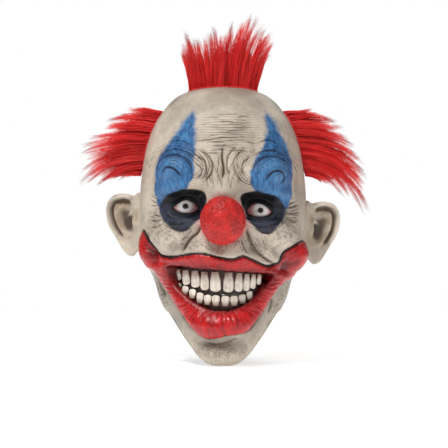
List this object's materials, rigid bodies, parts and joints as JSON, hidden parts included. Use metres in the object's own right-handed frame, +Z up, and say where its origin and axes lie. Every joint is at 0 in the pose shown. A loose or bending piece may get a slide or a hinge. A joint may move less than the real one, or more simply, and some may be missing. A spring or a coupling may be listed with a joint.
{
  "type": "halloween clown mask",
  "caption": "Full-head pull-on clown mask of cast latex: hollow skin with large ears, ball nose, dome eyes with sight holes, grinning teeth and tufts of hair.",
  "frame": {"origin": "middle of the wearer's head, between the ears, where the head sits inside the mask", "axes": "+Z up towards the crown, -Y the way the face looks, +X towards the wearer's left"},
  "size_m": [0.298, 0.2392, 0.3443],
  "materials": {
    "skin": "matte cast latex, sponged with washes of paint",
    "nose": "pebbled, satin red",
    "eye": "gloss white",
    "gum": "dark brown, matte",
    "teeth": "satin ivory, stained at the roots",
    "backing": "woven backing of long-pile fur",
    "hair": "long red synthetic pile"
  },
  "bodies": {
    "head": {"latex_skin": "skin", "ball_nose": "nose", "eye_dome_left": "eye", "eye_dome_right": "eye", "upper_gum": "gum", "upper_teeth": "teeth", "lower_gum": "gum", "lower_teeth": "teeth", "top_tuft_backing": "backing", "left_tuft_backing": "backing", "right_tuft_backing": "backing"},
    "left_ear": {"ear_left": "skin"},
    "right_ear": {"ear_right": "skin"},
    "top_hair": {"top_tuft_hair": "hair"},
    "left_hair": {"left_tuft_hair": "hair"},
    "right_hair": {"right_tuft_hair": "hair"}
  },
  "joints": [
    {"name": "top_tuft_sway", "type": "hinge", "parent": "head", "child": "top_hair", "pos_m": [0, 0.002, 0.1374], "axis": [1, 0, 0], "range_deg": [-32, 32], "stiffness_Nm_per_rad": 0.06},
    {"name": "left_tuft_sway", "type": "hinge", "parent": "head", "child": "left_hair", "pos_m": [0.08387, 0.012, 0.07573], "axis": [0.324, 0, -0.9461], "range_deg": [-28, 28], "stiffness_Nm_per_rad": 0.06},
    {"name": "right_tuft_sway", "type": "hinge", "parent": "head", "child": "right_hair", "pos_m": [-0.08387, 0.012, 0.07573], "axis": [-0.324, 0, -0.9461], "range_deg": [-28, 28], "stiffness_Nm_per_rad": 0.06},
    {"name": "left_ear_flex", "type": "hinge", "parent": "head", "child": "left_ear", "pos_m": [0.08953, 0.006, 0.00443], "axis": [0.0973, 0, 0.9953], "range_deg": [-20, 30], "stiffness_Nm_per_rad": 0.05},
    {"name": "right_ear_flex", "type": "hinge", "parent": "head", "child": "right_ear", "pos_m": [-0.08953, 0.006, 0.01243], "axis": [0.0973, 0, -0.9953], "range_deg": [-20, 30], "stiffness_Nm_per_rad": 0.05}
  ]
}
